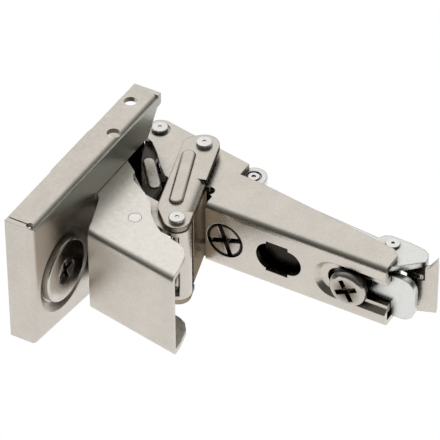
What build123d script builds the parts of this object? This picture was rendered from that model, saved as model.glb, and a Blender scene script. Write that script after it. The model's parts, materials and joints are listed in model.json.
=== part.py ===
from build123d import *
import os
from math import atan2, degrees

# Concealed cabinet hinge: a clip-on carrier, a channel arm on it, and a linkage of seven upright
# pivots that ends in a folded sheet pan let into the door. Millimetres, +Z up along the pivots.
# Sketches are drawn from the arm's own corner: X = 0 at the front edge of its web, Y = 0 on the
# web's outer face, Z = 0 half way up. The finished pieces are moved so that the origin lies in
# the middle of the front hook pin, which locates the hinge on its mounting plate. The door is shut.

# ---- sheet gauges and the stack of plates, from the middle outwards ----
ARM_HEIGHT = 17.0
ARM_SHEET = 1.3
LEVER_SHEET = 1.3
CROSS_SHEET = 1.1
LINK_SHEET = 1.3
PAN_SHEET = 1.2
CARRIER_WALL = 1.5
SIDE_PLAY = 0.15
EAR_PLAY = 0.2
COVER_STEP = 0.3

ARM_OUT = ARM_HEIGHT / 2
ARM_IN = ARM_OUT - ARM_SHEET
LEVER_OUT = ARM_IN - SIDE_PLAY
LEVER_IN = LEVER_OUT - LEVER_SHEET
CROSS_IN = ARM_OUT + SIDE_PLAY
CROSS_OUT = CROSS_IN + CROSS_SHEET
LINK_IN = CROSS_OUT + SIDE_PLAY
LINK_OUT = LINK_IN + LINK_SHEET
COVER_OUT = LINK_OUT + COVER_STEP
COVER_IN = COVER_OUT - LINK_SHEET
EAR_IN = COVER_OUT + EAR_PLAY
EAR_OUT = EAR_IN + PAN_SHEET
CARRIER_OUT = ARM_IN - SIDE_PLAY
CARRIER_IN = CARRIER_OUT - CARRIER_WALL

# ---- pivots, door shut ----
PIVOT_LEVER = Vector(-22.2, 18.0)
PIVOT_LINK = Vector(-9.0, 15.4)
PIVOT_ELBOW = Vector(-1.2, -10.3)
PIVOT_COVER = Vector(-9.4, -14.6)
PAN_FACE_X = -21.0
COVER_PIVOT_SINK = 2.2
PIVOT_PAN_COVER = Vector(PAN_FACE_X - COVER_PIVOT_SINK, -2.4)
# Both loops are parallelograms, so every pivot turns in step with the first.
PIVOT_CROSS = PIVOT_LEVER + PIVOT_ELBOW - PIVOT_LINK
PIVOT_PAN_CROSS = PIVOT_PAN_COVER + PIVOT_CROSS - PIVOT_COVER

# ---- rivets and pins ----
PIN_R = 1.45
RUNNING_FIT = 0.05
HEAD_R = 1.9
HEAD_H = 0.85
HEAD_EDGE = 0.3
SHOULDER_R = 1.95
WASHER_R = 3.2
SLEEVE_R = 1.85
AXIAL_PLAY = 0.05

# ---- arm channel ----
ARM_LENGTH = 45.4
ARM_INNER_BEND = 0.4
ARM_NOSE_R = 3.5
ARM_BACK_FRONT = 17.1
ARM_STEP_X = 1.7
ARM_STEP_Y = 13.0
ARM_STEP_END_X = 7.6
ARM_BACK_STEP = 12.6
ARM_BACK_REAR = 7.2
ARM_REAR_CORNER = 1.7
ARM_CHIN = [(-24.6, 14.6), (-21.4, 13.2), (-18.7, 10.6), (-15.7, 7.0), (-12.9, 4.4), (-9.6, 3.4), (-3.4, 5.3)]
ARM_THROAT_X = -1.6
ARM_THROAT_Y = 4.6
ARM_THROAT_R = 1.3
ARM_CHEEK_Y = 3.0

OVERLAY_X = 5.0
OVERLAY_HEAD_R = 4.3
OVERLAY_GAP = 0.3
OVERLAY_SLOT_W = 1.3
OVERLAY_SLOT_DEPTH = 1.4
OVERLAY_SLOT_ANGLE = 19.0
OVERLAY_NECK_R = 1.6
OVERLAY_BUTTON_R = 2.8
OVERLAY_BUTTON_H = 1.2
OVERLAY_SINK = 0.1

KEY_BIG_X = 16.8
KEY_BIG_R = 3.8
KEY_SHOULDER_X = 15.5
KEY_SHOULDER_LENGTH = 5.5
KEY_SHOULDER_HALF = 4.2
KEY_SMALL_X = 21.1
KEY_SMALL_R = 3.3

DEPTH_FROM_REAR = 8.8
DEPTH_X = ARM_LENGTH - DEPTH_FROM_REAR
SLOT_START_X = DEPTH_X - 6.0
SLOT_HALF = 2.9
RECESS_START_X = DEPTH_X - 9.1
RECESS_HALF = 5.0
RECESS_DEPTH = 1.2
RECESS_TAPER = 45.0
RECESS_FLOOR_HALF = 3.8

DEPTH_HEAD_R = 4.6
DEPTH_HEAD_H = 1.9
DEPTH_DOME_R = 1.5
DEPTH_SHANK_R = 2.4
DEPTH_SHANK_END = 8.0
CLAMP_WASHER_R = 3.6
CLAMP_WASHER_H = 1.0
CLAMP_PLAY = 0.2
CROSS_RECESS_W = 1.3
CROSS_RECESS_R = 2.9
CROSS_RECESS_DEPTH = 1.3
CROSS_RECESS_TURN = 28.0

DEPTH_TRAVEL_BACK = 2.5
TILT_PLAY = 0.25

# ---- clip-on carrier ----
HOOK_X = 3.8
HOOK_Y = 15.4
HOOK_EAR_R = 3.1
HOOK_PIN_R = 1.6
HOOK_TENON_R = 1.3
DIMPLE_SHARE = 0.4
DIMPLE_DEPTH = 0.3
TENON_RING = 0.5
LATCH_X = 42.0
LATCH_Y = 9.9
LATCH_PIN_R = 1.2
LATCH_TENON_R = 1.0
LATCH_CAP_R = 1.6
LATCH_CAP_H = 0.5
CARRIER_FRONT_X = 1.2
CARRIER_SADDLE_X = 44.5
FINGER_NOSE = [(46.6, 4.2), (51.1, 8.2), (51.0, 9.6), (50.2, 11.0), (48.9, 11.8), (45.2, 12.3)]
REAR_EAR = [(40.4, 12.4), (39.0, 11.8), (38.2, 10.4)]
TONGUE_REAR_X = 51.3
TONGUE_TOP = 4.9
TONGUE_BOTTOM = 6.6
CARRIER_WEB_Y = RECESS_DEPTH + ARM_SHEET + TILT_PLAY
CARRIER_WEB_BACK = CARRIER_WEB_Y + CARRIER_WALL
CARRIER_RIM = 0.6
CARRIER_ROUND = 3.4
FORK_PLAY = 0.4

# ---- release lever ----
RELEASE_SHEET = 1.2
RELEASE_PLAY = 0.35
RELEASE_BOSS_R = 2.3
RELEASE_CHEEK_TOP = 4.6
RELEASE_ARM_W = 3.4
RELEASE_PLATE_X = 50.1
RELEASE_PLATE_Y = 6.2
RELEASE_PLATE_ANGLE = 14.0
RELEASE_LIP_X = 1.2
RELEASE_LIP_Y = 0.3
RELEASE_WEB_START = 3.6
RELEASE_PLATE = [(0, -6.0), (4.5, -5.6), (4.5, 7.0), (4.3, 9.4), (2.6, 7.0), (1.6, 6.6), (1.6, 3.2), (0, 2.8)]
SPRING_WIRE_R = 0.3
SPRING_GAP = 0.2
SPRING_SIDES = 8
LATCH_SPRING_TURNS = 4
CLOSER_TURNS = 7

# ---- linkage plates ----
LEVER_END_R = 3.1
LEVER_BACK_SHIFT = 0.9
LEVER_MID_R = 3.7
LEVER_WAIST_R = 1.55
LEVER_WAIST_HIGH = Vector(-19.9, 8.75)
LEVER_WAIST_LOW = Vector(-14.1, 1.75)
LEVER_WEB_START = 6.0
LEVER_WEB_STOP = 2.0
LEVER_RIB_START = Vector(-19.2, 8.0)
LEVER_RIB_R = 1.35
LEVER_RIB_H = 0.4
LINK_B_R = 3.5
LINK_C_R = 3.0
LINK_B_BULGE = (-1.5, -1.0)
LINK_B_BULGE_R = 3.2
LINK_C_BULGE = (-3.4, 3.3)
LINK_C_BULGE_R = 3.0
LINK_WEB_START = 3.2
LINK_WEB_END = 14.7
LINK_INNER_BEND = 1.2
RIB_FROM = Vector(-10.1, 10.2)
RIB_TO = Vector(-4.7, -4.6)
RIB_R = 1.6
RIB_H = 0.75
CROSS_END_R = 3.2
CROSS_WEB_FROM = 1.9
CROSS_WEB_TOP = 2.2

COVER_FRONT_LEFT = (-16.0, -23.9)
COVER_FRONT_RIGHT = (8.1, -28.3)
COVER_PAN_R = 4.5
COVER_INNER_BEND = 0.5
COVER_RIM = [(7.7, -24.5), (6.7, -20.3), (5.3, -18.4), (3.6, -17.5), (1.0, -16.9), (-2.1, -15.9), (-4.8, -13.9),
             (-7.1, -11.5), (-9.1, -8.2), (-12.2, -6.0), (-16.3, -3.7), (-17.3, -1.2), (-20.0, 0.9)]
COVER_LEFT = [(-19.7, -12.9), (-17.5, -18.9)]
COVER_BITE = (-15.5, -1.3)
COVER_BITE_R = 2.0

# ---- door pan ----
PAN_NEAR_Y = -38.3
PAN_LENGTH = 55.0
PAN_DEPTH = 6.9
PAN_TOP_Z = 20.5
PAN_BOTTOM_NEAR = 12.8
PAN_BOTTOM_FAR = 19.9
PAN_INNER_BEND = 0.2
WINDOW_NEAR_Y = -12.6
BAND_CORNER_Y = 10.7
BAND_END_GAP = 0.2
CUP_PLAY = 0.6
CUP_CORNER_R = 3.0
CUP_MOUTH = 3.3
DOOR_OPENING = 95.0
SEAM = 0.3
CORNER_RELIEF_R = 0.8
TAB_DROP = 4.6
TAB_ROUND = 2.2
STRIP_HOLE_R = 1.5
STRIP_HOLES = [(-25.4, 10.7), (-22.9, -0.9)]
DOOR_SCREW_Y = -26.0
DOOR_SCREW_R = 7.6
DOOR_CUP_GAP = 0.4
DOOR_CUP_DEPTH = 1.2
DOOR_STEM_R = 3.0
DOOR_STEM_LENGTH = 8.0
DOOR_HEAD_PROUD = 0.6
DOOR_DISH_R = 10.0
DOOR_HEAD_HOLLOW_R = 14.4
DOOR_HEAD_HOLLOW = 0.4
DOOR_CROSS_TURN = 12.0

LONG = 200.0
REACH = 9.0
PROUD = 1.0
HALVES = (1, -1)


def at(point):
    """Place something at a plan point."""
    return Pos(point.X, point.Y, 0)


def slab(face, low, high):
    """A plan face raised from one level to another."""
    return Pos(0, 0, low) * extrude(face, high - low)


def both(face, low, high):
    """The same plate above and below the middle."""
    return slab(face, low, high) + slab(face, -high, -low)


def disc(point, radius):
    return Pos(point.X, point.Y) * Circle(radius)


def strap(*ends):
    """The outline of a band drawn tight round discs, each a plan point and a radius."""
    edges = []
    for point, radius in ends:
        edges += disc(point, radius).edges()
    return make_hull(edges)


def outline(points):
    return make_face(Polyline(*points, close=True))


def region(x0, x1, y0, y1):
    return Pos((x0 + x1) / 2, (y0 + y1) / 2) * Rectangle(x1 - x0, y1 - y0)


def block(x0, x1, y0, y1, z0, z1):
    return slab(region(x0, x1, y0, y1), z0, z1)


def toward(start, end):
    """Unit vector in plan from one point to another."""
    return (end - start).normalized()


def left_of(direction):
    return Vector(-direction.Y, direction.X)


def channel(face, start, end, sheet, half, inner_bend):
    """A plan outline folded from sheet: its edge from start to end is the web between two flanges."""
    middle = (start + end) / 2
    solid = slab(face, -half, half)
    folds = []
    for group, level in ((0, -half), (-1, half)):
        edges = solid.edges().group_by(Axis.Z)[group]
        folds.append(edges.sort_by_distance((middle.X, middle.Y, level))[0])
    solid = fillet(folds, sheet + inner_bend)
    inside = Box(LONG, LONG, 2 * (half - sheet), align=(Align.CENTER, Align.MIN, Align.CENTER))
    inside = fillet(inside.edges().filter_by(Axis.X).group_by(Axis.Y)[0], inner_bend)
    along = toward(start, end)
    seat = middle + left_of(along) * sheet
    return solid - at(seat) * Rot(0, 0, degrees(atan2(along.Y, along.X))) * inside


def swelling(face, height, edge):
    """A rounded bead over an outline, from Z = 0 up."""
    bead = extrude(face, height)
    return fillet(bead.edges().group_by(Axis.Z)[-1], edge)


def beside(start, end, side):
    """The plan area on one side of the line from start to end."""
    corners = (start, end, end + side * REACH, start + side * REACH)
    return outline([(corner.X, corner.Y) for corner in corners])


def hole(shape, point, radius):
    return shape - at(point) * Cylinder(radius, LONG)


def upright_pin(point, radius, half):
    return at(point) * Cylinder(radius, 2 * half)


def facing_side(shape, level, side):
    """Something modelled on Z = 0, set outward on the face at a level above or below the middle."""
    placed = Pos(0, 0, level) * shape
    if side < 0:
        placed = mirror(placed, about=Plane.XY)
    return placed


def rivet_head(point, seat, side):
    """A low domed head on the outer face at height seat, above or below."""
    head = Cylinder(HEAD_R, HEAD_H, align=(Align.CENTER, Align.CENTER, Align.MIN))
    head = fillet(head.edges().sort_by(Axis.Z)[-1], HEAD_EDGE)
    dimple = Pos(0, 0, HEAD_H) * Cylinder(HEAD_R / 4, HEAD_EDGE)
    head -= dimple
    return at(point) * facing_side(head, seat, side)


def cross_recess(depth, wing, width, turn):
    """A tapered cross-shaped driver recess about +Z, cut down from Z = 0."""
    cross = Rectangle(2 * wing, width) + Rectangle(width, 2 * wing)
    return Rot(0, 0, turn) * mirror(extrude(cross, depth, taper=8), about=Plane.XY)


FACE_FRONT = Rot(90, 0, 0)
FACE_DOOR = Rot(0, 90, 0)


# ---- carrier and what is fixed to it ----

def carrier_flange(tail):
    """Side wall of the carrier with its front and rear ears; the tail is the outline behind the rear ear."""
    hook = Vector(HOOK_X, HOOK_Y)
    points = [(CARRIER_FRONT_X, CARRIER_WEB_Y), (CARRIER_SADDLE_X, CARRIER_WEB_Y)] + tail
    points += REAR_EAR
    points += [(ARM_STEP_END_X, ARM_BACK_STEP + CARRIER_RIM), (CARRIER_FRONT_X, ARM_STEP_Y)]
    ear = strap((hook, HOOK_EAR_R), (hook - Vector(0, HOOK_EAR_R), HOOK_EAR_R))
    return outline(points) + ear


def base_carrier():
    """Die-cast seat: two walls, and a web whose open front fork holds the grooved tail of the side screw."""
    lower_tail = [(CARRIER_SADDLE_X, LATCH_Y), (CARRIER_SADDLE_X - 0.8, LATCH_Y + 1.8)]
    shape = slab(carrier_flange(FINGER_NOSE), CARRIER_IN, CARRIER_OUT)
    shape += slab(carrier_flange(lower_tail), -CARRIER_OUT, -CARRIER_IN)
    web = region(CARRIER_FRONT_X, CARRIER_SADDLE_X, -CARRIER_OUT, CARRIER_OUT)
    tongue = region(CARRIER_FRONT_X, TONGUE_REAR_X, -TONGUE_BOTTOM, TONGUE_TOP)
    web += fillet(tongue.vertices().group_by(Axis.X)[-1], CARRIER_ROUND)
    fork_end = Vector(OVERLAY_X + DEPTH_TRAVEL_BACK, 0)
    fork_half = OVERLAY_NECK_R + FORK_PLAY
    web -= disc(fork_end, fork_half) + region(0, fork_end.X, -fork_half, fork_half)
    web -= disc(Vector(DEPTH_X, 0), DEPTH_SHANK_R)
    shape += Pos(0, CARRIER_WEB_BACK, 0) * FACE_FRONT * extrude(web, CARRIER_WALL)
    hook = Vector(HOOK_X, HOOK_Y)
    ring = disc(hook, HOOK_TENON_R + TENON_RING) - disc(hook, HOOK_TENON_R)
    shape -= both(ring, CARRIER_OUT - DIMPLE_DEPTH, CARRIER_OUT + PROUD)
    shape = hole(shape, hook, HOOK_TENON_R)
    return hole(shape, Vector(LATCH_X, LATCH_Y), LATCH_TENON_R)


def shouldered_pin(point, radius, tenon, cap_r, cap_h):
    """A pin between the carrier walls; its thinner tenons end in a low cap on their outer faces."""
    end = CARRIER_OUT + cap_h
    pin = upright_pin(point, radius, CARRIER_IN) + upright_pin(point, tenon, end)
    if cap_h > 0:
        pin += both(disc(point, cap_r), CARRIER_OUT, end)
    return pin - both(disc(point, tenon * DIMPLE_SHARE), end - DIMPLE_DEPTH, end + PROUD)


def depth_screw():
    """Pan-head clamping screw: head outside the arm, shank through its slot into the carrier."""
    head_seat = RECESS_DEPTH - CLAMP_WASHER_H - CLAMP_PLAY
    head = Cylinder(DEPTH_HEAD_R, DEPTH_HEAD_H, align=(Align.CENTER, Align.CENTER, Align.MIN))
    head = fillet(head.edges().sort_by(Axis.Z)[-1], DEPTH_DOME_R)
    drive = cross_recess(CROSS_RECESS_DEPTH, CROSS_RECESS_R, CROSS_RECESS_W, CROSS_RECESS_TURN)
    head -= Pos(0, 0, DEPTH_HEAD_H) * drive
    shank_length = DEPTH_SHANK_END - head_seat
    shank = Cylinder(DEPTH_SHANK_R, shank_length, align=(Align.CENTER, Align.CENTER, Align.MAX))
    return Pos(DEPTH_X, head_seat, 0) * FACE_FRONT * (head + shank)


def clamp_washer():
    ring = Circle(CLAMP_WASHER_R) - Circle(DEPTH_SHANK_R + TILT_PLAY)
    seat = RECESS_DEPTH - AXIAL_PLAY
    return Pos(DEPTH_X, seat, 0) * FACE_FRONT * extrude(ring, CLAMP_WASHER_H)


# ---- arm ----

def arm_outline():
    back = toward(PIVOT_LEVER, Vector(ARM_STEP_X, ARM_BACK_FRONT))
    nose_top = PIVOT_LEVER + left_of(back) * ARM_NOSE_R
    points = [(nose_top.X, nose_top.Y), (ARM_STEP_X, ARM_BACK_FRONT), (ARM_STEP_X, ARM_STEP_Y)]
    points += [(ARM_STEP_END_X, ARM_BACK_STEP), (ARM_LENGTH - ARM_REAR_CORNER, ARM_BACK_REAR)]
    points += [(ARM_LENGTH, ARM_BACK_REAR - ARM_REAR_CORNER), (ARM_LENGTH, 0), (0, 0), (0, ARM_CHEEK_Y)]
    points += list(reversed(ARM_CHIN))
    face = outline(points) + disc(PIVOT_LEVER, ARM_NOSE_R)
    return face - disc(Vector(ARM_THROAT_X, ARM_THROAT_Y), ARM_THROAT_R)


def stadium(start_x, half):
    """A slot outline in the web, round at its front end and open past the rear end of the arm."""
    return disc(Vector(start_x + half, 0), half) + region(start_x + half, ARM_LENGTH + half, -half, half)


def arm_channel():
    shape = channel(arm_outline(), Vector(0, 0), Vector(ARM_LENGTH, 0), ARM_SHEET, ARM_OUT, ARM_INNER_BEND)
    inner = Pos(0, RECESS_DEPTH + ARM_SHEET, 0) * FACE_FRONT * extrude(
        stadium(RECESS_START_X, RECESS_HALF), RECESS_DEPTH + ARM_SHEET / 2)
    shape += inner & block(0, ARM_LENGTH, 0, LONG, -ARM_OUT, ARM_OUT)
    floor = stadium(RECESS_START_X + RECESS_HALF - RECESS_FLOOR_HALF, RECESS_FLOOR_HALF)
    dish = Pos(0, RECESS_DEPTH, 0) * FACE_FRONT * extrude(floor, RECESS_DEPTH, taper=-RECESS_TAPER)
    shape -= dish
    through = extrude(stadium(SLOT_START_X, SLOT_HALF), LONG / 10, both=True)
    shape -= FACE_FRONT * through
    shape -= Pos(OVERLAY_X, 0, 0) * FACE_FRONT * Cylinder(OVERLAY_HEAD_R + OVERLAY_GAP, 4 * ARM_SHEET)
    key = disc(Vector(KEY_BIG_X, 0), KEY_BIG_R) + disc(Vector(KEY_SMALL_X, 0), KEY_SMALL_R)
    key += region(KEY_SHOULDER_X, KEY_SHOULDER_X + KEY_SHOULDER_LENGTH, -KEY_SHOULDER_HALF, KEY_SHOULDER_HALF)
    shape -= FACE_FRONT * extrude(key, 2 * ARM_SHEET, both=True)
    ring = disc(PIVOT_LEVER, HEAD_R + TENON_RING) - disc(PIVOT_LEVER, HEAD_R)
    shape -= both(ring, ARM_OUT - DIMPLE_DEPTH, ARM_OUT + PROUD)
    shape = hole(shape, PIVOT_LEVER, PIN_R)
    return hole(shape, PIVOT_LINK, PIN_R)


def overlay_screw():
    """Side adjuster: a cross-slotted disc in the web, with a grooved tail held by the carrier."""
    depth = CARRIER_WEB_Y - TILT_PLAY * 3.6
    head = Cylinder(OVERLAY_HEAD_R, depth - OVERLAY_SINK, align=(Align.CENTER, Align.CENTER, Align.MAX))
    for turn in (0, 90):
        bar = Box(4 * OVERLAY_HEAD_R, OVERLAY_SLOT_W, 2 * OVERLAY_SLOT_DEPTH)
        head -= Rot(0, 0, OVERLAY_SLOT_ANGLE + turn) * bar
    tail_end = CARRIER_WEB_BACK + (CARRIER_WEB_Y - depth)
    neck = Cylinder(OVERLAY_NECK_R, tail_end - OVERLAY_SINK, align=(Align.CENTER, Align.CENTER, Align.MAX))
    button = Pos(0, 0, OVERLAY_SINK - tail_end) * Cylinder(
        OVERLAY_BUTTON_R, OVERLAY_BUTTON_H, align=(Align.CENTER, Align.CENTER, Align.MAX))
    return Pos(OVERLAY_X, OVERLAY_SINK, 0) * FACE_FRONT * (head + (neck - Cylinder(
        OVERLAY_HEAD_R, 2 * OVERLAY_SLOT_DEPTH)) + button)


def lever_pin():
    pin = upright_pin(PIVOT_LEVER, PIN_R, ARM_OUT)
    for side in HALVES:
        pin += rivet_head(PIVOT_LEVER, ARM_OUT, side)
    return pin


def link_pin():
    pin = upright_pin(PIVOT_LINK, PIN_R, LINK_OUT + AXIAL_PLAY)
    for side in HALVES:
        pin += rivet_head(PIVOT_LINK, LINK_OUT + AXIAL_PLAY, side)
    return pin


def washers(point, low, high):
    ring = disc(point, WASHER_R) - disc(point, PIN_R)
    return both(ring, low, high)


# ---- levers ----

def lever_outline():
    along = toward(PIVOT_LEVER, PIVOT_CROSS)
    middle = PIVOT_CROSS - left_of(along) * LEVER_BACK_SHIFT
    return (strap((PIVOT_LEVER, LEVER_END_R), (LEVER_WAIST_HIGH, LEVER_WAIST_R))
            + strap((LEVER_WAIST_HIGH, LEVER_WAIST_R), (LEVER_WAIST_LOW, LEVER_WAIST_R))
            + strap((LEVER_WAIST_LOW, LEVER_WAIST_R), (middle, LEVER_MID_R))
            + strap((middle, LEVER_MID_R), (PIVOT_COVER, LEVER_END_R)))


def arm_lever():
    face = lever_outline()
    shape = both(face, LEVER_IN, LEVER_OUT)
    along = toward(PIVOT_LEVER, PIVOT_CROSS)
    rim = face - offset(face, -LEVER_SHEET)
    start = PIVOT_LEVER + along * LEVER_WEB_START
    keep = beside(start, PIVOT_CROSS - along * LEVER_WEB_STOP, left_of(along) * -1)
    shape += slab(rim & keep, -LEVER_OUT, LEVER_OUT)
    rib = strap((LEVER_RIB_START, LEVER_RIB_R), (LEVER_WAIST_LOW, LEVER_RIB_R))
    bead = swelling(rib, LEVER_RIB_H, LEVER_RIB_H * 0.8)
    for side in HALVES:
        shape += facing_side(bead, LEVER_OUT, side)
    shape = hole(shape, PIVOT_LEVER, PIN_R + RUNNING_FIT)
    shape = hole(shape, PIVOT_CROSS, PIN_R)
    return hole(shape, PIVOT_COVER, PIN_R)


def cross_pin():
    return upright_pin(PIVOT_CROSS, PIN_R, CROSS_OUT)


def stepped_rivets(point, inner, step_low, step_high, outer):
    """A flush rivet above and below, each with a shoulder that spaces the two plates it joins."""
    return both(disc(point, PIN_R), inner, outer) + both(disc(point, SHOULDER_R), step_low, step_high)


def link_outline():
    bulge_b = PIVOT_LINK + Vector(*LINK_B_BULGE)
    bulge_c = PIVOT_ELBOW + Vector(*LINK_C_BULGE)
    return strap((PIVOT_LINK, LINK_B_R), (bulge_b, LINK_B_BULGE_R), (bulge_c, LINK_C_BULGE_R), (PIVOT_ELBOW, LINK_C_R))


def outer_link():
    """Two plates joined at their lower right by a web with a wide bend."""
    face = link_outline()
    up = toward(PIVOT_ELBOW, PIVOT_LINK)
    spread = (LINK_C_R - LINK_B_R) / (PIVOT_LINK - PIVOT_ELBOW).length
    outward = (up * spread - left_of(up) * (1 - spread ** 2) ** 0.5).normalized()
    along = left_of(outward)
    start = PIVOT_ELBOW + outward * LINK_C_R + along * LINK_WEB_START
    end = start + along * (LINK_WEB_END - LINK_WEB_START)
    band = face & beside(start + outward, end + outward, left_of(along))
    shape = both(face - band, LINK_IN, LINK_OUT)
    shape += channel(band, start, end, LINK_SHEET, LINK_OUT, LINK_INNER_BEND)
    bead = swelling(strap((RIB_FROM, RIB_R), (RIB_TO, RIB_R)), RIB_H, RIB_H * 0.9)
    hollow = extrude(strap((RIB_FROM, RIB_R / 2), (RIB_TO, RIB_R / 2)), RIB_H)
    for side in HALVES:
        shape += facing_side(bead, LINK_OUT, side)
        shape -= facing_side(hollow, LINK_IN, side)
    shape = hole(shape, PIVOT_LINK, PIN_R + RUNNING_FIT)
    return hole(shape, PIVOT_ELBOW, PIN_R)


def elbow_pin():
    pin = upright_pin(PIVOT_ELBOW, PIN_R, LINK_OUT)
    for side in HALVES:
        pin += rivet_head(PIVOT_ELBOW, LINK_OUT, side)
    return pin


def cross_lever():
    face = (strap((PIVOT_ELBOW, CROSS_END_R), (PIVOT_CROSS, CROSS_END_R))
            + strap((PIVOT_CROSS, CROSS_END_R), (PIVOT_PAN_CROSS, CROSS_END_R)))
    shape = both(face, CROSS_IN, CROSS_OUT)
    rim = face - offset(face, -CROSS_SHEET)
    keep = region(PIVOT_ELBOW.X + CROSS_WEB_FROM, PIVOT_ELBOW.X + REACH,
                  PIVOT_ELBOW.Y - REACH, PIVOT_ELBOW.Y + CROSS_WEB_TOP)
    shape += slab(rim & keep, -CROSS_OUT, CROSS_OUT)
    for point in (PIVOT_ELBOW, PIVOT_CROSS, PIVOT_PAN_CROSS):
        shape = hole(shape, point, PIN_R + RUNNING_FIT)
    return shape


def cover_outline():
    left = Vector(*COVER_FRONT_LEFT)
    right = Vector(*COVER_FRONT_RIGHT)
    lead = PIVOT_PAN_COVER + Vector(-COVER_PAN_R * 0.86, -COVER_PAN_R * 0.5)
    points = [(left.X, left.Y), (right.X, right.Y)] + COVER_RIM
    crown = PIVOT_PAN_COVER + Vector(COVER_PAN_R * 0.5, COVER_PAN_R * 0.86)
    points += [(crown.X, crown.Y), (PIVOT_PAN_COVER.X, PIVOT_PAN_COVER.Y), (lead.X, lead.Y)] + COVER_LEFT
    face = outline(points) + disc(PIVOT_PAN_COVER, COVER_PAN_R)
    return face - disc(Vector(*COVER_BITE), COVER_BITE_R)


def cover_link():
    left = Vector(*COVER_FRONT_LEFT)
    right = Vector(*COVER_FRONT_RIGHT)
    shape = channel(cover_outline(), left, right, LINK_SHEET, COVER_OUT, COVER_INNER_BEND)
    shape = hole(shape, PIVOT_COVER, PIN_R + RUNNING_FIT)
    return hole(shape, PIVOT_PAN_COVER, PIN_R + RUNNING_FIT)


# ---- door pan ----

def pan_side(inset, reach):
    """The pan seen from the cabinet, drawn with Y along X and Z along Y, shrunk by inset at three sides."""
    far_y = PAN_NEAR_Y + PAN_LENGTH
    near_y = PAN_NEAR_Y + inset
    low_near = inset - PAN_BOTTOM_NEAR
    low_far = inset - PAN_BOTTOM_FAR
    slope = (low_far - low_near) / PAN_LENGTH
    end_y = far_y + reach
    return outline([
        (near_y, low_near),
        (end_y, low_near + slope * (end_y - near_y)),
        (end_y, PAN_TOP_Z - inset),
        (near_y, PAN_TOP_Z - inset),
    ])


def cup_end_r(inset):
    return CROSS_END_R + CUP_PLAY + PAN_SHEET - inset


def cup_flank(inset):
    """Where the cup's far wall, which stays clear of the swung cross lever, meets the back of the pan."""
    swung = (PIVOT_CROSS - PIVOT_PAN_CROSS).rotate(Axis.Z, DOOR_OPENING).normalized()
    flank = PIVOT_PAN_CROSS + left_of(swung) * cup_end_r(inset)
    return flank + swung * ((PAN_FACE_X - PAN_DEPTH - flank.X) / swung.X), swung


def cup_plan(inset, reach):
    """Plan of the deep cup behind the window; reach carries its open side beyond the pan's face."""
    flank, swung = cup_flank(inset)
    flank += swung * reach
    near_y = WINDOW_NEAR_Y - PAN_SHEET + inset
    corner_r = CUP_CORNER_R - inset
    corner = Vector(PIVOT_PAN_CROSS.X - cup_end_r(inset) + corner_r, near_y + corner_r)
    mouth = outline([
        (PAN_FACE_X + reach, near_y),
        (PAN_FACE_X + reach, BAND_CORNER_Y + reach),
        (flank.X, flank.Y),
    ])
    edges = mouth.edges() + disc(PIVOT_PAN_CROSS, cup_end_r(inset)).edges() + disc(corner, corner_r).edges()
    return make_hull(edges)


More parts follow.
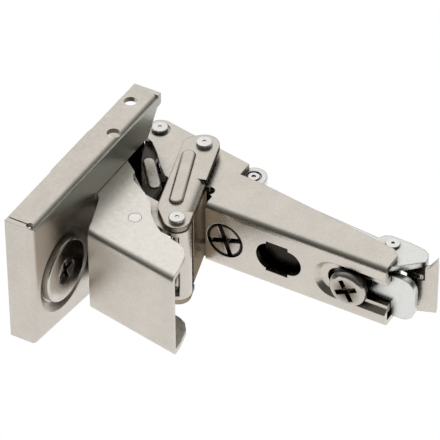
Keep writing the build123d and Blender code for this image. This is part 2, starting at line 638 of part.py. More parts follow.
def door_pan():
    far_y = PAN_NEAR_Y + PAN_LENGTH
    back_x = PAN_FACE_X - PAN_DEPTH
    inner_x = PAN_FACE_X - PAN_SHEET
    face_plane = Plane(origin=(PAN_FACE_X, 0, 0), x_dir=(0, 1, 0), z_dir=(1, 0, 0)).location
    shape = face_plane * extrude(pan_side(0, 0), -PAN_DEPTH)
    folds = []
    for edge in shape.edges():
        centre = edge.center()
        if abs(centre.X - PAN_FACE_X) < 0.01 and centre.Y < far_y - 0.01:
            folds.append(edge)
    shape = fillet(folds, PAN_SHEET + PAN_INNER_BEND)
    hollow = extrude(pan_side(PAN_SHEET, PROUD), -PAN_DEPTH)
    hollow = fillet(hollow.edges().group_by(Axis.Z)[-1].sort_by(Axis.X)[:-1], PAN_INNER_BEND)
    shape -= Pos(-PAN_SHEET, 0, 0) * face_plane * hollow
    seat_r = DOOR_SCREW_R + DOOR_CUP_GAP
    dish_place = Pos(PAN_FACE_X, DOOR_SCREW_Y, 0) * FACE_DOOR
    low = (Align.CENTER, Align.CENTER, Align.MAX)
    shape += Pos(-PAN_SHEET, 0, 0) * dish_place * Cone(seat_r + PAN_SHEET, DOOR_DISH_R, DOOR_CUP_DEPTH, align=low)
    window = outline([(WINDOW_NEAR_Y, -EAR_IN), (far_y + PROUD, -EAR_IN), (far_y + PROUD, EAR_IN), (WINDOW_NEAR_Y, EAR_IN)])
    shape -= face_plane * extrude(window, LONG, both=True)
    for side in HALVES:
        bevel = outline([
            (BAND_CORNER_Y, side * EAR_IN),
            (far_y + PROUD, side * EAR_IN),
            (far_y + PROUD, side * (PAN_TOP_Z - PAN_SHEET)),
            (far_y - BAND_END_GAP, side * (PAN_TOP_Z - PAN_SHEET)),
        ])
        shape -= face_plane * extrude(bevel, PAN_SHEET + RUNNING_FIT, both=True)
    cup = cup_plan(0, 0)
    shape += slab(cup - cup_plan(PAN_SHEET, REACH), -EAR_OUT, EAR_OUT)
    flank = cup_flank(0)[0]
    guard = region(back_x, PAN_FACE_X - CUP_MOUTH, flank.Y - PAN_SHEET, flank.Y)
    shape += slab(guard, EAR_PLAY - CROSS_IN, CROSS_IN - EAR_PLAY)
    shape += both(cup, EAR_IN, EAR_OUT)
    for point in (PIVOT_PAN_COVER, PIVOT_PAN_CROSS):
        shape -= both(disc(point, PIN_R), EAR_IN, EAR_OUT)
    tab = region(back_x, PAN_FACE_X, PAN_TOP_Z - TAB_DROP, PAN_TOP_Z)
    tab = fillet(tab.vertices().group_by(Axis.Y)[0], TAB_ROUND)
    shape += Pos(0, far_y, 0) * FACE_FRONT * extrude(tab, PAN_SHEET)
    shape -= block(-LONG, inner_x, PAN_NEAR_Y + PAN_SHEET, PAN_NEAR_Y + PAN_SHEET + SEAM,
                   PAN_TOP_Z - PAN_SHEET - SEAM, PAN_TOP_Z + PROUD)
    shape -= Pos(inner_x, PAN_NEAR_Y + PAN_SHEET, PAN_TOP_Z) * Cylinder(CORNER_RELIEF_R, 2 * PAN_SHEET)
    recess = Cone(seat_r, DOOR_DISH_R, DOOR_CUP_DEPTH, align=low)
    bore = Cylinder(DOOR_STEM_R + RUNNING_FIT, LONG / 10)
    shape -= dish_place * (recess + bore)
    for x, y in STRIP_HOLES:
        shape -= Pos(x, y, PAN_TOP_Z) * Cylinder(STRIP_HOLE_R, 3 * PAN_SHEET)
    return shape


def door_screw():
    """Large flat screw that clamps the pan in the door."""
    height = DOOR_CUP_DEPTH + DOOR_HEAD_PROUD - AXIAL_PLAY
    head = Cylinder(DOOR_SCREW_R, height, align=(Align.CENTER, Align.CENTER, Align.MIN))
    head = fillet(head.edges().sort_by(Axis.Z)[-1], DOOR_HEAD_PROUD * 0.8)
    head -= Pos(0, 0, height + DOOR_HEAD_HOLLOW_R - DOOR_HEAD_HOLLOW) * Sphere(DOOR_HEAD_HOLLOW_R)
    recess = Pos(0, 0, height) * cross_recess(CROSS_RECESS_DEPTH, CROSS_RECESS_R, CROSS_RECESS_W, DOOR_CROSS_TURN)
    stem = Cylinder(DOOR_STEM_R, DOOR_STEM_LENGTH, align=(Align.CENTER, Align.CENTER, Align.MAX))
    seat_x = PAN_FACE_X - DOOR_CUP_DEPTH + AXIAL_PLAY
    return Pos(seat_x, DOOR_SCREW_Y, 0) * FACE_DOOR * (head + stem - recess)


# ---- release lever ----

def release_lever():
    """Folded sheet lever on the rear pin: two cheeks and an upright thumb plate."""
    pivot = Vector(LATCH_X, LATCH_Y)
    half = CARRIER_IN - RELEASE_PLAY
    corner = Vector(RELEASE_PLATE_X, RELEASE_PLATE_Y)
    cheek = strap((pivot, RELEASE_BOSS_R), (corner + Vector(0, RELEASE_ARM_W / 2), RELEASE_ARM_W / 2))
    lip = corner + Vector(RELEASE_LIP_X, RELEASE_LIP_Y)
    cheek += outline([(corner.X, corner.Y), (lip.X, lip.Y), (corner.X, corner.Y + RELEASE_ARM_W)])
    top = slab(cheek, RELEASE_CHEEK_TOP - RELEASE_SHEET, RELEASE_CHEEK_TOP)
    shape = top + slab(cheek, -half, RELEASE_SHEET - half)
    along = toward(pivot, corner + Vector(0, RELEASE_ARM_W / 2))
    rim = cheek - offset(cheek, -RELEASE_SHEET)
    start = pivot + along * RELEASE_WEB_START
    keep = beside(start, start + along * REACH, left_of(along))
    shape += slab(rim & keep, -half, RELEASE_CHEEK_TOP)
    plate = FACE_FRONT * extrude(outline(RELEASE_PLATE), -RELEASE_SHEET)
    shape += at(corner) * Rot(0, 0, RELEASE_PLATE_ANGLE) * plate
    return hole(shape, pivot, LATCH_PIN_R + RUNNING_FIT)


def coil(point, clear_r, turns, start_angle):
    """Close-wound wire spring round an upright pin, centred on the middle."""
    pitch = 2 * SPRING_WIRE_R + SPRING_GAP
    path = Helix(pitch, pitch * turns, clear_r + SPRING_WIRE_R)
    section = Plane(origin=path @ 0, z_dir=path % 0) * RegularPolygon(SPRING_WIRE_R, SPRING_SIDES)
    wire = sweep(section, path=path)
    return at(point) * Pos(0, 0, -pitch * turns / 2) * Rot(0, 0, start_angle) * wire


def closing_spring():
    return coil(PIVOT_LEVER, SLEEVE_R + SPRING_GAP, CLOSER_TURNS, 90)


def lever_sleeve():
    ring = disc(PIVOT_LEVER, SLEEVE_R) - disc(PIVOT_LEVER, PIN_R)
    return slab(ring, AXIAL_PLAY - LEVER_IN, LEVER_IN - AXIAL_PLAY)


def latch_spring():
    return coil(Vector(LATCH_X, LATCH_Y), LATCH_PIN_R + SPRING_GAP, LATCH_SPRING_TURNS, 0)


PIECES = {
    "base_carrier": base_carrier(),
    "front_hook_pin": shouldered_pin(Vector(HOOK_X, HOOK_Y), HOOK_PIN_R, HOOK_TENON_R, 0, 0),
    "rear_latch_pin": shouldered_pin(Vector(LATCH_X, LATCH_Y), LATCH_PIN_R, LATCH_TENON_R, LATCH_CAP_R, LATCH_CAP_H),
    "depth_screw": depth_screw(),
    "clamp_washer": clamp_washer(),
    "arm_channel": arm_channel(),
    "overlay_screw": overlay_screw(),
    "lever_pin": lever_pin(),
    "link_pin": link_pin(),
    "link_washers": washers(PIVOT_LINK, ARM_OUT, LINK_IN - AXIAL_PLAY),
    "arm_lever": arm_lever(),
    "cross_pin": cross_pin(),
    "cross_washers": washers(PIVOT_CROSS, LEVER_OUT, CROSS_IN - AXIAL_PLAY),
    "cover_rivets": stepped_rivets(PIVOT_COVER, LEVER_IN, LEVER_OUT, COVER_IN - AXIAL_PLAY, COVER_OUT),
    "outer_link": outer_link(),
    "elbow_pin": elbow_pin(),
    "cross_lever": cross_lever(),
    "cover_link": cover_link(),
    "door_pan": door_pan(),
    "pan_cover_rivets": stepped_rivets(PIVOT_PAN_COVER, COVER_IN, COVER_OUT + AXIAL_PLAY, EAR_IN, EAR_OUT),
    "pan_cross_rivets": stepped_rivets(PIVOT_PAN_CROSS, CROSS_IN, CROSS_OUT + AXIAL_PLAY, EAR_IN, EAR_OUT),
    "door_screw": door_screw(),
    "release_lever": release_lever(),
    "latch_spring": latch_spring(),
    "lever_sleeve": lever_sleeve(),
    "closing_spring": closing_spring(),
}

ORIGIN = Pos(-HOOK_X, -HOOK_Y, 0)
os.makedirs("parts", exist_ok=True)
for name, piece in PIECES.items():
    export_step(ORIGIN * piece, f"parts/{name}.step")
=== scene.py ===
import json
import math

import bpy
from mathutils import Euler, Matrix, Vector


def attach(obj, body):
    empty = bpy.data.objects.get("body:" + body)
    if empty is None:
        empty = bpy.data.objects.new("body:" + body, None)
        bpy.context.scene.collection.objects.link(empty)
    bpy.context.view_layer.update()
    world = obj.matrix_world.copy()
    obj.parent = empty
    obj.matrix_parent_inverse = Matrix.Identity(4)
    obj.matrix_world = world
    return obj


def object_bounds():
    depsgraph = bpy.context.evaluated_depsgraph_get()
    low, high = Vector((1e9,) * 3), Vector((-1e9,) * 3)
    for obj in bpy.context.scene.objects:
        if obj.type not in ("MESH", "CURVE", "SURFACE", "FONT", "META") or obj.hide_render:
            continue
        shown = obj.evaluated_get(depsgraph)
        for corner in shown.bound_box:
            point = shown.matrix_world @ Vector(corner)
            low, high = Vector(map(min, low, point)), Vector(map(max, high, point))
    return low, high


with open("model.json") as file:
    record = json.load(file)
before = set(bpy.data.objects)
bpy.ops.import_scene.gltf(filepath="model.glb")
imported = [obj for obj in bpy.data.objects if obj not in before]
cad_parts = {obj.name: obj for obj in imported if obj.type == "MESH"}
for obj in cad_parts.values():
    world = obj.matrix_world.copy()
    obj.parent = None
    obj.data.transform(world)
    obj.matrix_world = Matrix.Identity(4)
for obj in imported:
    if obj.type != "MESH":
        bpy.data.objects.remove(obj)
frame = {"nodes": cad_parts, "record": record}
start_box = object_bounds()

MM = 0.001

# ---- view of the photograph: the place in metres, the turn in degrees ----
CAMERA_PLACE = (0.2974, -0.5330, 0.5113)
CAMERA_TURN = (49.725, 0.223, 29.690)
CAMERA_LENS = 287.6
CAMERA_SENSOR = 36.0

# ---- stage: a floor just under the part, in metres ----
FLOOR_SIZE = 8
FLOOR_GAP = 0.2 * MM
FLOOR_COLOUR = (0.80, 0.80, 0.79, 1)
FLOOR_ROUGHNESS = 0.9
WHITE = (1, 1, 1, 1)

# ---- light: the sky's brightness, from the side away from SKY_TOWARD (0) to the side it points at (1) ----
SKY_TOWARD = (-0.45, 0.62, 0.64)
SKY_STOPS = (
    (0.0, (0.08, 0.08, 0.08, 1)),
    (0.60, (0.11, 0.11, 0.10, 1)),
    (0.82, (0.34, 0.35, 0.33, 1)),
    (0.92, (0.85, 0.85, 0.84, 1)),
    (1.0, (1.0, 1.0, 1.0, 1)),
)

# ---- colours (linear) ----
NICKEL_LIGHT = (0.69, 0.645, 0.585, 1)
NICKEL_DARK = (0.59, 0.55, 0.495, 1)
# Painted light: the cover's upper face, lighter than its folded front.
COVER_TOP_LIGHT = (0.84, 0.795, 0.735, 1)
# Painted dark reflection about the middle of the adjusting screws' heads.
HEAD_DARK_REFLECTION = (0.20, 0.165, 0.125, 1)
# Painted shade on the arm lever's plates.
LEVER_SHADE = (0.075, 0.066, 0.056, 1)
# Painted shade on the outer link's web and the edges of its plates.
LINK_SIDE_SHADE = (0.33, 0.275, 0.215, 1)
# Painted shade: near black, for the pieces that close the view through the hinge.
SHADE_FILL_LIGHT = (0.035, 0.031, 0.027, 1)
SHADE_FILL_DARK = (0.020, 0.018, 0.016, 1)
# Painted reflections on the door pan's face: a dark grey-green band, and a brown face under it.
BAND_REFLECTION = (0.44, 0.445, 0.40, 1)
FACE_BROWN_REFLECTION = (0.60, 0.54, 0.47, 1)
BRIGHT_LIGHT = (0.86, 0.84, 0.81, 1)
BRIGHT_DARK = (0.74, 0.72, 0.69, 1)
ZINC_LIGHT = (0.80, 0.805, 0.78, 1)
ZINC_DARK = (0.71, 0.715, 0.69, 1)
SCREW_LIGHT = (0.70, 0.66, 0.61, 1)
SCREW_DARK = (0.52, 0.48, 0.43, 1)
# Painted shade: near black, for gaps, hollows and shaded spots.
CAVITY_SHADE = (0.030, 0.026, 0.022, 1)
WIRE_LIGHT = (0.42, 0.41, 0.40, 1)
WIRE_DARK = (0.24, 0.24, 0.24, 1)
ACETAL_LIGHT = (0.80, 0.79, 0.75, 1)
ACETAL_DARK = (0.70, 0.69, 0.65, 1)

# Old oil takes the shine off the outer link where it is seen along its surface.
LINK_GRAZING = (0.45, 0.40, 0.34, 1)

# ---- grain of plated metal: noise scales per metre, their shares, and the levels between dark and light ----
EVEN = (1, 1, 1)
BRUSHED = (1, 1, 6)
CLOUD_SCALE = 160
CLOUD_SHARE = 0.4
SPECKLE_SCALE = 2600
SPECKLE_SHARE = 0.6
TONE_LEVELS = (0.36, 0.62)
SCRATCH_SCALE = 900
NOISE_LEVELS = (0.3, 0.7)
ROUGHNESS_SPREAD = (0.8, 1.25)

# ---- rays per point for softened edges and for gaps ----
EDGE_SAMPLES = 4
OPENNESS_SAMPLES = 8

# ---- small relief: each a depth and a strength ----
SCRATCH_RELIEF = (0.012 * MM, 0.15)
SKIN_RELIEF = (0.08 * MM, 0.2)
PLASTIC_RELIEF = (0.03 * MM, 0.2)

# ---- moulded plastic ----
PLASTIC_ROUGHNESS = 0.45
PLASTIC_SCALE = 400
PLASTIC_LEVELS = (0.35, 0.6)
PLASTIC_EDGE = 0.1 * MM

# ---- scale of the uneven skin under the plating ----
SHEET_SKIN = 420
PIN_SKIN = 600
CASTING_SKIN = 300
SCREW_SKIN = 500
WIRE_SKIN = 900

# ---- painted shade in gaps: how open a surface is where it is painted fully dark, and where it keeps its plain colour ----
SHADE_REACH = 7 * MM
SHADE_ON_SHEET = (0.15, 0.60)
SHADE_ON_FACES = (0.03, 0.26)
SHADE_ON_CASTING = (0.30, 0.90)

# ---- the door pan's face, by Y and Z: a band of painted dark reflection lies above a line that falls from the near top
# corner to the window, and is level from there on. Below it a painted brown reflection covers the face over
# FACE_FALL. ----
BAND_NEAR = (-53.7 * MM, 20.5 * MM)
BAND_WINDOW = (-28.0 * MM, 11.7 * MM)
BAND_BLUR = 0.5 * MM
FACE_FALL = (-12 * MM, 9 * MM)

# ---- adjusting screws: the X of the axis, then the distances from it over which the rim turns to painted shade, and
# over which the painted dark reflection of the middle ends ----
SIDE_SCREW = (1.2 * MM, (3.65 * MM, 3.95 * MM), (0.9 * MM, 2.2 * MM))
DEPTH_SCREW = (32.8 * MM, (4.35 * MM, 4.6 * MM), (1.0 * MM, 4.4 * MM))

# ---- the outer link's web: its end by the arm's throat is painted near black as shade, by Y ----
WEB_DARK_SPAN = (-15.0 * MM, -12.9 * MM)

# ---- the arm lever: its plates are painted near black as shade, and its raised ribs keep the plain tone, by Z ----
RIB_LEVELS = (7.10 * MM, 7.25 * MM)

# ---- painted shade on the zinc: the casting's face inside the arm, up to the clamping screw's slot, by X ----
COVERED_SHADE_END = (22 * MM, 24 * MM)

# ---- how far a surface faces along an axis, at the two ends of a change of painted light, shade or reflection ----
PAN_FACING = (0.75, 0.95)
COVER_FACING = (0.6, 0.95)
LINK_FACING = (0.25, 0.7)
SEAT_FACING = (-0.6, -0.9)


class Graph:
    """A small wrapper for building one tree of shader nodes."""

    def __init__(self, tree):
        self.tree = tree

    def add(self, kind, **settings):
        node = self.tree.nodes.new(kind)
        for key, value in settings.items():
            setattr(node, key, value)
        return node

    def join(self, source, target):
        self.tree.links.new(source, target)

    def span(self, value, start, end=(0, 1), **settings):
        """Map the range start onto the range end, and hold the value at its limits."""
        node = self.add("ShaderNodeMapRange", **settings)
        limits = ("From Min", "From Max", "To Min", "To Max")
        for socket, limit in zip(limits, (*start, *end)):
            node.inputs[socket].default_value = limit
        self.join(value, node.inputs["Value"])
        return node.outputs["Result"]

    def between(self, value, low, high):
        """0 at low and 1 at high, smooth between them; low may be the larger number."""
        return self.span(value, (low, high), interpolation_type="SMOOTHSTEP")

    def ramp(self, value, *stops):
        """A colour for each value; the stops are places from 0 to 1 with their colours."""
        node = self.add("ShaderNodeValToRGB")
        elements = node.color_ramp.elements
        while len(elements) < len(stops):
            elements.new(0.5)
        for element, (place, colour) in zip(elements, stops):
            element.position = place
            element.color = colour
        self.join(value, node.inputs["Fac"])
        return node.outputs["Color"]

    def blend(self, factor, first, second):
        """Mix two colours; each is a socket or a plain colour."""
        node = self.add("ShaderNodeMix", data_type="RGBA")
        self.join(factor, node.inputs["Factor"])
        for name, colour in (("A", first), ("B", second)):
            socket = [entry for entry in node.inputs if entry.name == name and entry.type == "RGBA"][0]
            if isinstance(colour, tuple):
                socket.default_value = colour
            else:
                self.join(colour, socket)
        return [entry for entry in node.outputs if entry.type == "RGBA"][0]

    def maths(self, operation, *values):
        """One sum; each value is a socket or a plain number."""
        node = self.add("ShaderNodeMath", operation=operation)
        for socket, value in zip(node.inputs, values):
            if isinstance(value, (int, float)):
                socket.default_value = value
            else:
                self.join(value, socket)
        return node.outputs["Value"]


class Shader(Graph):
    """The node tree of one material, with the patterns that the looks are made of."""

    def __init__(self, name):
        self.material = bpy.data.materials.new(name)
        self.material.use_nodes = True
        super().__init__(self.material.node_tree)
        self.base = self.tree.nodes["Principled BSDF"]

    def place(self, scale):
        """Object coordinates stretched by scale, so a pattern keeps its size on every piece."""
        coords = self.add("ShaderNodeTexCoord")
        mapping = self.add("ShaderNodeMapping")
        mapping.inputs["Scale"].default_value = scale
        self.join(coords.outputs["Object"], mapping.inputs["Vector"])
        return mapping.outputs["Vector"]

    def noise(self, vector, scale, detail=4, roughness=0.6):
        node = self.add("ShaderNodeTexNoise")
        node.inputs["Scale"].default_value = scale
        node.inputs["Detail"].default_value = detail
        node.inputs["Roughness"].default_value = roughness
        self.join(vector, node.inputs["Vector"])
        return node.outputs["Fac"]

    def bump(self, height, relief, under):
        """Relief in the surface direction, on top of the surface direction under it."""
        depth, strength = relief
        node = self.add("ShaderNodeBump")
        node.inputs["Distance"].default_value = depth
        node.inputs["Strength"].default_value = strength
        self.join(height, node.inputs["Height"])
        self.join(under, node.inputs["Normal"])
        return node.outputs["Normal"]

    def part_of(self, kind, axis):
        """One axis of the object's own coordinates or of its surface direction."""
        coords = self.add("ShaderNodeTexCoord")
        split = self.add("ShaderNodeSeparateXYZ")
        self.join(coords.outputs[kind], split.inputs["Vector"])
        return split.outputs[axis]

    def openness(self, reach):
        """1 where the surface is open to the room, towards 0 deep in a gap."""
        node = self.add("ShaderNodeAmbientOcclusion", samples=OPENNESS_SAMPLES)
        node.inputs["Distance"].default_value = reach
        return node.outputs["AO"]

    def soft_edge(self, radius):
        """The surface direction, with edges rounded over to this radius."""
        node = self.add("ShaderNodeBevel", samples=EDGE_SAMPLES)
        node.inputs["Radius"].default_value = radius
        return node.outputs["Normal"]


def plated_metal(
    name,
    light,
    dark,
    roughness,
    grain=EVEN,
    skin=SHEET_SKIN,
    edge=0.25 * MM,
    gap_shade=SHADE_ON_SHEET,
    tone=None,
):
    """Plated metal: a fine-grained tone with painted shade darkening its gaps, and softened edges."""
    shader = Shader(name)
    shader.base.inputs["Metallic"].default_value = 1.0
    cloud = shader.noise(shader.place(EVEN), CLOUD_SCALE, detail=3)
    speckle = shader.noise(shader.place(EVEN), SPECKLE_SCALE, detail=3, roughness=0.7)
    clouded = shader.maths("MULTIPLY", cloud, CLOUD_SHARE)
    mixed = shader.maths("MULTIPLY_ADD", speckle, SPECKLE_SHARE, clouded)
    colour = shader.ramp(mixed, *zip(TONE_LEVELS, (dark, light)))
    if tone is not None:
        colour = tone(shader, colour)
    # Painted shade: the colour turns near black where other parts hem the surface in.
    open_share = shader.between(shader.openness(SHADE_REACH), *gap_shade)
    shader.join(shader.blend(open_share, CAVITY_SHADE, colour), shader.base.inputs["Base Color"])
    scratches = shader.noise(shader.place(grain), SCRATCH_SCALE, detail=3)
    gloss = [roughness * share for share in ROUGHNESS_SPREAD]
    shader.join(shader.span(scratches, NOISE_LEVELS, gloss), shader.base.inputs["Roughness"])
    fine = shader.bump(scratches, SCRATCH_RELIEF, shader.soft_edge(edge))
    uneven = shader.noise(shader.place(EVEN), skin, detail=2)
    shader.join(shader.bump(uneven, SKIN_RELIEF, fine), shader.base.inputs["Normal"])
    return shader.material


def pan_painted_reflection(shader, colour):
    """The pan's face has a band of painted dark reflection above; below that a painted brown reflection, and
    plain at its lower edge.
    """
    height = shader.part_of("Object", "Z")
    slope = (BAND_WINDOW[1] - BAND_NEAR[1]) / (BAND_WINDOW[0] - BAND_NEAR[0])
    start = BAND_NEAR[1] - slope * BAND_NEAR[0]
    line = shader.maths("MULTIPLY_ADD", shader.part_of("Object", "Y"), slope, start)
    above = shader.maths("SUBTRACT", height, shader.maths("MAXIMUM", line, BAND_WINDOW[1]))
    lower = shader.blend(shader.between(height, *FACE_FALL), colour, FACE_BROWN_REFLECTION)
    face = shader.blend(shader.between(above, -BAND_BLUR, BAND_BLUR), lower, BAND_REFLECTION)
    return shader.blend(shader.between(shader.part_of("Normal", "X"), *PAN_FACING), colour, face)


def cover_painted_light(shader, colour):
    """The cover's upper face has painted light that makes it lighter than its folded front."""
    return shader.blend(shader.between(shader.part_of("Normal", "Z"), *COVER_FACING), colour, COVER_TOP_LIGHT)


def lever_painted_shade(shader, colour):
    """The arm lever's plates carry painted shade, apart from the raised ribs on its two plates."""
    level = shader.maths("ABSOLUTE", shader.part_of("Object", "Z"))
    return shader.blend(shader.between(level, *RIB_LEVELS), LEVER_SHADE, colour)


def link_painted_shade(shader, colour):
    """The outer link's web and the edges of its plates carry painted brown shade, near black by the arm's
    throat.
    """
    upright = shader.maths("ABSOLUTE", shader.part_of("Normal", "Z"))
    side_shade = shader.blend(shader.between(shader.part_of("Object", "Y"), *WEB_DARK_SPAN), LINK_SIDE_SHADE, CAVITY_SHADE)
    return shader.blend(shader.between(upright, *LINK_FACING), side_shade, colour)


def head_painted_shade(axis_x, rim, middle):
    """A screw head with painted shade round its rim and a painted brown reflection about its middle."""

    def tone(shader, colour):
        across = shader.maths("SUBTRACT", shader.part_of("Object", "X"), axis_x)
        up = shader.part_of("Object", "Z")
        squares = [shader.maths("MULTIPLY", length, length) for length in (across, up)]
        radius = shader.maths("SQRT", shader.maths("ADD", *squares))
        reflected = shader.blend(shader.between(radius, *middle), HEAD_DARK_REFLECTION, colour)
        return shader.blend(shader.between(radius, *rim), reflected, CAVITY_SHADE)

    return tone


def seat_painted_shade(shader, colour):
    """The carrier's outer face is painted near black as shade where the arm covers it."""
    outward = shader.between(shader.part_of("Normal", "Y"), *SEAT_FACING)
    covered = shader.between(shader.part_of("Object", "X"), COVERED_SHADE_END[1], COVERED_SHADE_END[0])
    return shader.blend(shader.maths("MULTIPLY", outward, covered), colour, CAVITY_SHADE)


def moulded_plastic(name, light, dark):
    """Plain plastic with a faint cloud in its tone and its skin."""
    shader = Shader(name)
    shader.base.inputs["Roughness"].default_value = PLASTIC_ROUGHNESS
    cloud = shader.noise(shader.place(EVEN), PLASTIC_SCALE)
    shader.join(shader.ramp(cloud, *zip(PLASTIC_LEVELS, (dark, light))), shader.base.inputs["Base Color"])
    edges = shader.soft_edge(PLASTIC_EDGE)
    shader.join(shader.bump(cloud, PLASTIC_RELIEF, edges), shader.base.inputs["Normal"])
    return shader.material


# ---- looks of the record's materials ----
LOOKS = {
    "nickel_steel": plated_metal("satin_nickel", NICKEL_LIGHT, NICKEL_DARK, roughness=0.27, grain=BRUSHED),
    "bright_steel": plated_metal(
        "bright_nickel", BRIGHT_LIGHT, BRIGHT_DARK, roughness=0.20, skin=PIN_SKIN, edge=0.15 * MM
    ),
    "zinc": plated_metal(
        "zinc_casting",
        ZINC_LIGHT,
        ZINC_DARK,
        roughness=0.26,
        skin=CASTING_SKIN,
        edge=0.5 * MM,
        gap_shade=SHADE_ON_CASTING,
        tone=seat_painted_shade,
    ),
    "screw_steel": plated_metal(
        "screw_nickel", SCREW_LIGHT, SCREW_DARK, roughness=0.22, skin=SCREW_SKIN, edge=0.12 * MM
    ),
    "spring_steel": plated_metal(
        "spring_wire", WIRE_LIGHT, WIRE_DARK, roughness=0.35, skin=WIRE_SKIN, edge=0.05 * MM
    ),
    "plastic": moulded_plastic("acetal", ACETAL_LIGHT, ACETAL_DARK),
}

# ---- pieces that differ from the look of their material ----
link_nickel = plated_metal(
    "link_nickel", NICKEL_LIGHT, NICKEL_DARK, roughness=0.27, grain=BRUSHED, edge=0.4 * MM, tone=link_painted_shade
)
link_nickel.node_tree.nodes["Principled BSDF"].inputs["Specular Tint"].default_value = LINK_GRAZING

OWN_LOOKS = {
    "outer_link": link_nickel,
    "arm_lever": plated_metal(
        "lever_nickel", NICKEL_LIGHT, NICKEL_DARK, roughness=0.30, grain=BRUSHED, tone=lever_painted_shade
    ),
    "cover_link": plated_metal(
        "cover_nickel",
        NICKEL_LIGHT,
        NICKEL_DARK,
        roughness=0.34,
        grain=BRUSHED,
        edge=0.2 * MM,
        gap_shade=SHADE_ON_FACES,
        tone=cover_painted_light,
    ),
    "door_pan": plated_metal(
        "pan_nickel",
        NICKEL_LIGHT,
        NICKEL_DARK,
        roughness=0.34,
        grain=BRUSHED,
        edge=0.12 * MM,
        gap_shade=SHADE_ON_FACES,
        tone=pan_painted_reflection,
    ),
    "overlay_screw": plated_metal(
        "side_screw_nickel",
        SCREW_LIGHT,
        SCREW_DARK,
        roughness=0.26,
        skin=SCREW_SKIN,
        edge=0.3 * MM,
        tone=head_painted_shade(*SIDE_SCREW),
    ),
    "depth_screw": plated_metal(
        "depth_screw_nickel",
        SCREW_LIGHT,
        SCREW_DARK,
        roughness=0.22,
        skin=SCREW_SKIN,
        edge=0.3 * MM,
        tone=head_painted_shade(*DEPTH_SCREW),
    ),
}
# Painted shade for the pieces that close the view through the hinge.
SHADE_FILL = plated_metal("shade_fill_steel", SHADE_FILL_LIGHT, SHADE_FILL_DARK, roughness=0.5)

slots = {part["node"]: part["material_slot"] for part in frame["record"]["subparts"]}
for node, obj in frame["nodes"].items():
    obj.data.materials.clear()
    obj.data.materials.append(OWN_LOOKS.get(node, LOOKS[slots[node]]))


# ---- pieces inside that only close the view through the hinge, painted near black as shade ----
# Plan points are measured as in the part's source, where the frame's origin lies at ORIGIN.
ORIGIN = (3.8 * MM, 15.4 * MM)
LINK_PIVOT = (-9.0 * MM, 15.4 * MM)
SLEEVE_RADII = (1.5 * MM, 3.0 * MM)
SLEEVE_HALF = 7.05 * MM
CUP_WALL = ((-27.9 * MM, 12.1 * MM), (-23.6 * MM, 13.3 * MM))
CUP_WALL_HALF = 8.4 * MM
RING_STEPS = 48


def add_mesh(name, points, faces, material, body):
    mesh = bpy.data.meshes.new(name)
    mesh.from_pydata(points, [], faces)
    mesh.materials.append(material)
    obj = bpy.data.objects.new(name, mesh)
    bpy.context.scene.collection.objects.link(obj)
    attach(obj, body)
    return obj


def sleeve(name, centre, radii, half, material, body):
    """An upright tube round a plan point, its inner and outer walls each a ring of points at both ends."""
    x, y = centre[0] - ORIGIN[0], centre[1] - ORIGIN[1]
    rings = ((radii[1], -half), (radii[1], half), (radii[0], half), (radii[0], -half))
    turns = [2 * math.pi * step / RING_STEPS for step in range(RING_STEPS)]
    points = []
    for radius, height in rings:
        for turn in turns:
            points.append((x + radius * math.cos(turn), y + radius * math.sin(turn), height))
    faces = []
    for ring in range(4):
        for step in range(RING_STEPS):
            after = (step + 1) % RING_STEPS
            low, high = ring * RING_STEPS, (ring + 1) % 4 * RING_STEPS
            faces.append((low + step, low + after, high + after, high + step))
    return add_mesh(name, points, faces, material, body)


def wall(name, corners, half, material, body):
    """An upright block over a plan rectangle."""
    (x0, y0), (x1, y1) = [(x - ORIGIN[0], y - ORIGIN[1]) for x, y in corners]
    plan = ((x0, y0), (x1, y0), (x1, y1), (x0, y1))
    points = [(x, y, z) for z in (-half, half) for x, y in plan]
    sides = [(low, (low + 1) % 4, (low + 1) % 4 + 4, low + 4) for low in range(4)]
    return add_mesh(name, points, [(3, 2, 1, 0), (4, 5, 6, 7)] + sides, material, body)


sleeve("link_sleeve", LINK_PIVOT, SLEEVE_RADII, SLEEVE_HALF, SHADE_FILL, "arm")
wall("cup_far_wall", CUP_WALL, CUP_WALL_HALF, SHADE_FILL, "pan")

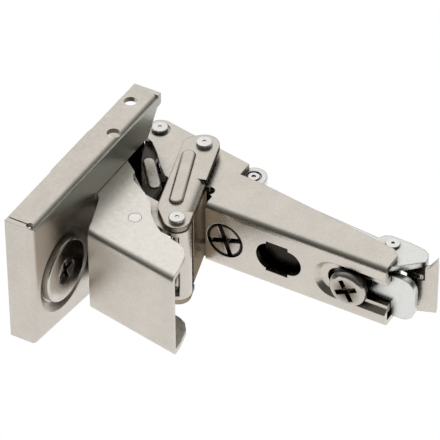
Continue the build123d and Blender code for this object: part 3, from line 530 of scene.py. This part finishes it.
# ---- stage: the camera and reflections see it as plain white, and it lights the part as a pale floor ----
lowest = start_box[0][2]
bpy.ops.mesh.primitive_plane_add(size=FLOOR_SIZE, location=(0, 0, lowest - FLOOR_GAP))
floor = bpy.context.object
floor.name = "floor"
stage = Shader("stage")
stage.base.inputs["Base Color"].default_value = FLOOR_COLOUR
stage.base.inputs["Roughness"].default_value = FLOOR_ROUGHNESS
path = stage.add("ShaderNodeLightPath")
glow = stage.add("ShaderNodeEmission")
glow.inputs["Color"].default_value = WHITE
glow.inputs["Strength"].default_value = 1.0
seen = stage.maths("MAXIMUM", path.outputs["Is Camera Ray"], path.outputs["Is Glossy Ray"])
mix = stage.add("ShaderNodeMixShader")
stage.join(seen, mix.inputs["Fac"])
stage.join(stage.base.outputs["BSDF"], mix.inputs[1])
stage.join(glow.outputs["Emission"], mix.inputs[2])
stage.join(mix.outputs["Shader"], stage.tree.nodes["Material Output"].inputs["Surface"])
floor.data.materials.append(stage.material)

# ---- light: a wide soft source behind and to the left, dimmer towards the camera side ----
world = bpy.data.worlds.new("studio")
world.use_nodes = True
bpy.context.scene.world = world
air = Graph(world.node_tree)
facing = air.add("ShaderNodeVectorMath", operation="DOT_PRODUCT")
facing.inputs[1].default_value = Vector(SKY_TOWARD).normalized()
air.join(air.add("ShaderNodeTexCoord").outputs["Generated"], facing.inputs[0])
sky = air.ramp(air.span(facing.outputs["Value"], (-1, 1)), *SKY_STOPS)
shown = air.blend(air.add("ShaderNodeLightPath").outputs["Is Camera Ray"], sky, WHITE)
background = air.tree.nodes["Background"]
air.join(shown, background.inputs["Color"])
background.inputs["Strength"].default_value = 1.0

# ---- camera ----
camera_data = bpy.data.cameras.new("camera")
camera_data.lens = CAMERA_LENS
camera_data.sensor_width = CAMERA_SENSOR
camera = bpy.data.objects.new("camera", camera_data)
camera.location = CAMERA_PLACE
camera.rotation_euler = Euler([math.radians(angle) for angle in CAMERA_TURN], "XYZ")
bpy.context.scene.collection.objects.link(camera)
bpy.context.scene.camera = camera
bpy.context.scene.view_settings.view_transform = "Standard"
